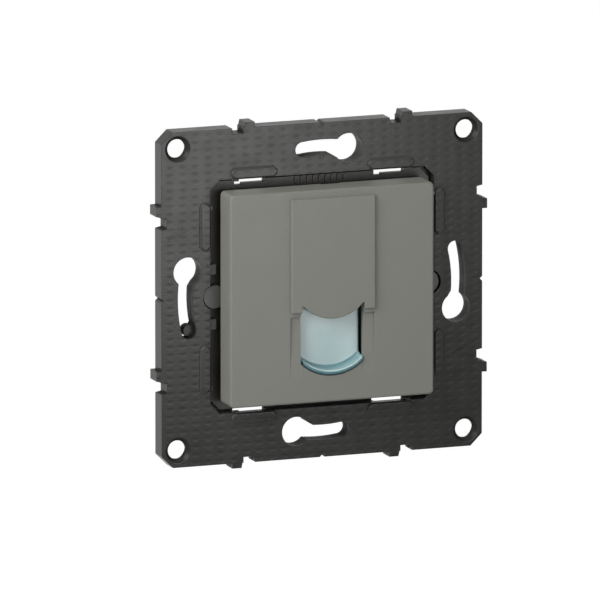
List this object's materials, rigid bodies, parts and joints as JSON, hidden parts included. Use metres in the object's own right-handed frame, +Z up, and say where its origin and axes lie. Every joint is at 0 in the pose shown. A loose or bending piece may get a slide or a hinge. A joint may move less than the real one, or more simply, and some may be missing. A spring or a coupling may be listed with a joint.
{
  "type": "modular jack wall outlet",
  "caption": "Flush data outlet: slotted wall-box mounting frame, square clip-on cover and a sliding dust shutter over a modular jack with a pull-off wiring cap.",
  "frame": {"origin": "centre of the mounting frame on the wall plane, at the frame's back face", "axes": "+X to the right seen from the room, +Y into the wall, +Z up; the cover faces -Y"},
  "size_m": [0.0732, 0.0363, 0.0732],
  "materials": {
    "frame_plastic": "dark grey glass-filled plastic with a fine dimpled face",
    "carrier_plastic": "near-black moulded plastic",
    "cover_plastic": "warm grey matt plastic",
    "shutter_plastic": "translucent pale blue plastic, polished",
    "spring_steel": "bright spring wire",
    "socket_plastic": "black moulded plastic",
    "comb_plastic": "light grey moulded plastic",
    "board_laminate": "green laminate",
    "terminal_plastic": "off-white moulded plastic",
    "shield_steel": "tinned sheet",
    "cap_plastic": "mid grey moulded plastic",
    "contact_gold": "gold-plated spring wire",
    "blade_metal": "tinned bronze"
  },
  "bodies": {
    "outlet": {"mounting_frame": "frame_plastic", "mechanism_carrier": "carrier_plastic", "front_cover": "cover_plastic", "shutter_spring": "spring_steel", "jack_housing": "socket_plastic", "contact_comb": "comb_plastic", "circuit_board": "board_laminate", "terminal_block": "terminal_plastic", "jack_shield": "shield_steel", "contact_1": "contact_gold", "contact_2": "contact_gold", "contact_3": "contact_gold", "contact_4": "contact_gold", "contact_5": "contact_gold", "contact_6": "contact_gold", "contact_7": "contact_gold", "contact_8": "contact_gold", "idc_blade_1": "blade_metal", "idc_blade_2": "blade_metal", "idc_blade_3": "blade_metal", "idc_blade_4": "blade_metal", "idc_blade_5": "blade_metal", "idc_blade_6": "blade_metal", "idc_blade_7": "blade_metal", "idc_blade_8": "blade_metal"},
    "shutter": {"dust_shutter": "shutter_plastic"},
    "rear_cap": {"wiring_cap": "cap_plastic"}
  },
  "joints": [
    {"name": "shutter_slide", "type": "slide", "parent": "outlet", "child": "shutter", "axis": [0, 0, 1], "range_m": [0, 0.0102], "stiffness_N_per_m": 40, "springref_m": -0.004, "deforming": ["shutter_spring"]},
    {"name": "cap_slide", "type": "slide", "parent": "outlet", "child": "rear_cap", "axis": [0, 1, 0], "range_m": [0, 0.005]}
  ]
}
